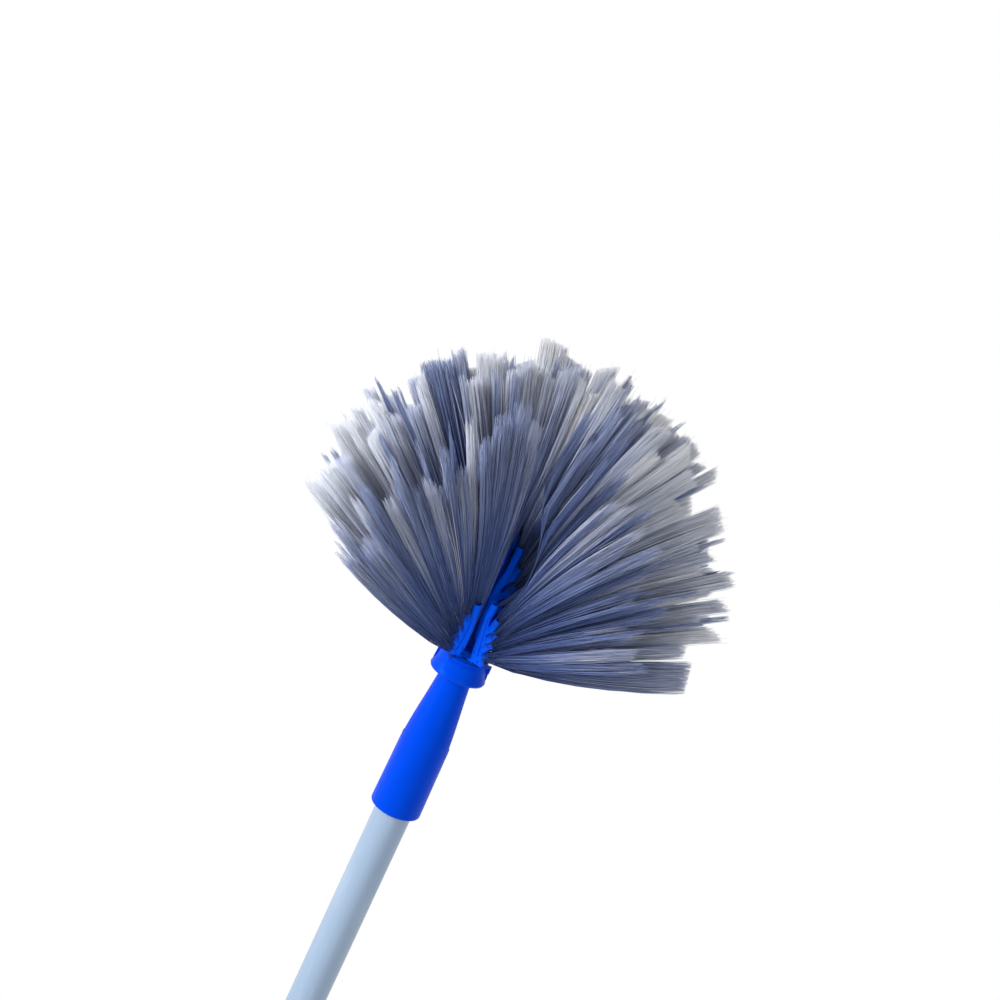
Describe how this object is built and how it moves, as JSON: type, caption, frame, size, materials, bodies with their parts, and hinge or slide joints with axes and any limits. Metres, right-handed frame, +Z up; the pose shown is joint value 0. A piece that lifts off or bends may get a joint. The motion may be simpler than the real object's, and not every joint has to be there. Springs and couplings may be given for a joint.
{
  "type": "cobweb brush",
  "caption": "Cobweb brush with a fan-shaped head of soft split bristles on a telescopic pole with a twist lock, for sweeping ceilings and high corners.",
  "frame": {"origin": "under the middle of the hanging eye at the bottom end of the pole", "axes": "+Z up the pole towards the head, the fan of bristles lies in the XZ plane, +Y through its thickness"},
  "size_m": [0.2424, 0.16, 1.0316],
  "materials": {
    "pole": "light blue-grey paint, satin",
    "blue": "moulded, satin gloss",
    "lock_blue": "moulded, satin gloss, a deeper blue",
    "grip": "soft, matt",
    "guide": "moulded, matt",
    "steel": "zinc plated",
    "bristle": "split filaments, dark navy at the root and pale grey at the tip"
  },
  "bodies": {
    "lower_pole": {"lower_tube": "pole", "end_cap": "blue", "hand_grip": "grip", "lock_body": "blue"},
    "lock_nut": {"lock_nut": "lock_blue"},
    "upper_pole": {"upper_tube": "pole", "tube_guide": "guide", "thread_tip": "guide", "tip_rivet": "steel"},
    "brush_head": {"socket": "blue", "collar_ring": "blue", "head_hub": "lock_blue", "clamp_bar": "lock_blue", "clamp_screw": "steel", "arm_front_inner_right": "blue", "arm_front_inner_left": "blue", "arm_front_outer_right": "blue", "arm_front_outer_left": "blue", "arm_back_inner_left": "blue", "arm_back_inner_right": "blue", "arm_back_outer_left": "blue", "arm_back_outer_right": "blue", "bristles_front_inner_right_low": "bristle", "bristles_front_inner_left_low": "bristle", "bristles_front_outer_right_low": "bristle", "bristles_front_outer_left_low": "bristle", "bristles_back_inner_left_low": "bristle", "bristles_back_inner_right_low": "bristle", "bristles_back_outer_left_low": "bristle", "bristles_back_outer_right_low": "bristle", "bristles_front_inner_right_high": "bristle", "bristles_front_inner_left_high": "bristle", "bristles_front_outer_right_high": "bristle", "bristles_front_outer_left_high": "bristle", "bristles_back_inner_left_high": "bristle", "bristles_back_inner_right_high": "bristle", "bristles_back_outer_left_high": "bristle", "bristles_back_outer_right_high": "bristle"}
  },
  "joints": [
    {"name": "lock_nut_turn", "type": "hinge", "parent": "lower_pole", "child": "lock_nut", "pos_m": [0, 0, 0.566], "axis": [0, 0, 1], "range_deg": [0, 120]},
    {"name": "pole_extend", "type": "slide", "parent": "lower_pole", "child": "upper_pole", "axis": [0, 0, 1], "range_m": [-0.105, 0.3]},
    {"name": "head_turn", "type": "hinge", "parent": "upper_pole", "child": "brush_head", "pos_m": [0, 0, 0.787], "axis": [0, 0, 1], "range_deg": [0, 1440]}
  ]
}
